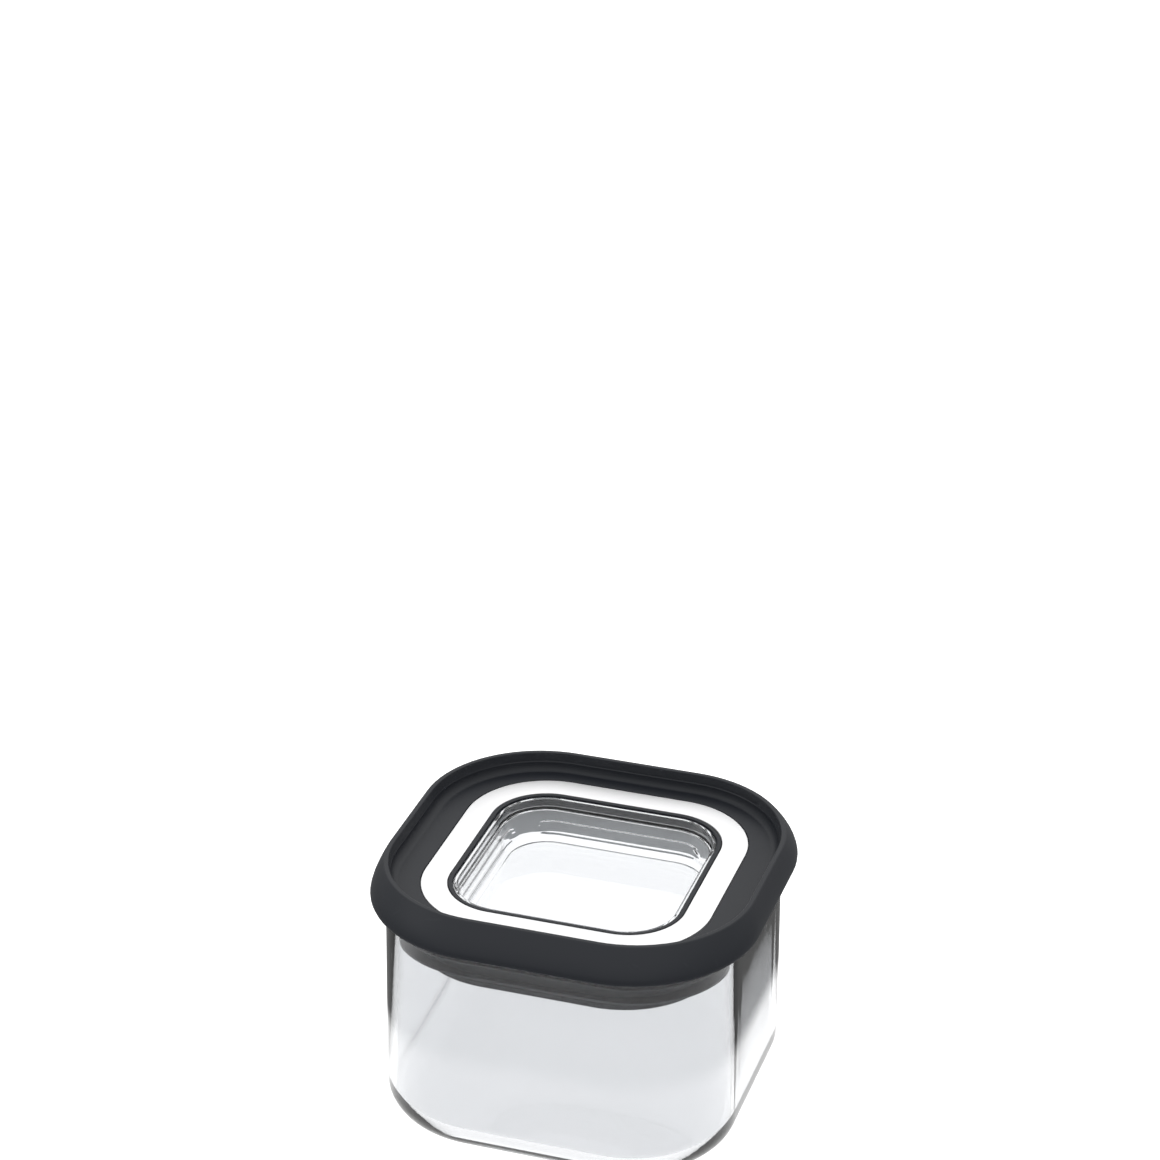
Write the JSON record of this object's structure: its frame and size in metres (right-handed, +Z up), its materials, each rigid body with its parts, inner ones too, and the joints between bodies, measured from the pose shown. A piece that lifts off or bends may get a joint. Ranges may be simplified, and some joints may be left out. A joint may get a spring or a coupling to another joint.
{
  "type": "glass storage canister",
  "caption": "Low square glass canister with rounded corners and a lift-off plug lid: dark plastic rim, inlaid steel trim ring and a sunken clear window.",
  "frame": {"origin": "centre of the jar's base, on the plane it stands on", "axes": "+Z up through the middle of the lid; +X along the slightly longer way of the lid; the front faces -Y"},
  "size_m": [0.1058, 0.1038, 0.0721],
  "materials": {
    "jar_glass": "clear, fire-polished rim",
    "lid_plastic": "fine satin",
    "trim_steel": "fine brushed",
    "window_plastic": "clear, polished",
    "collar_plastic": "smooth satin",
    "seal_silicone": "soft matt"
  },
  "bodies": {
    "jar": {"glass_jar": "jar_glass"},
    "lid": {"lid_frame": "lid_plastic", "steel_ring": "trim_steel", "window_tray": "window_plastic", "window_seal": "seal_silicone", "plug_collar": "collar_plastic", "jar_seal": "seal_silicone"}
  },
  "joints": [
    {"name": "lid_lift", "type": "slide", "parent": "jar", "child": "lid", "axis": [0, 0, 1], "range_m": [0, 0.04]}
  ]
}
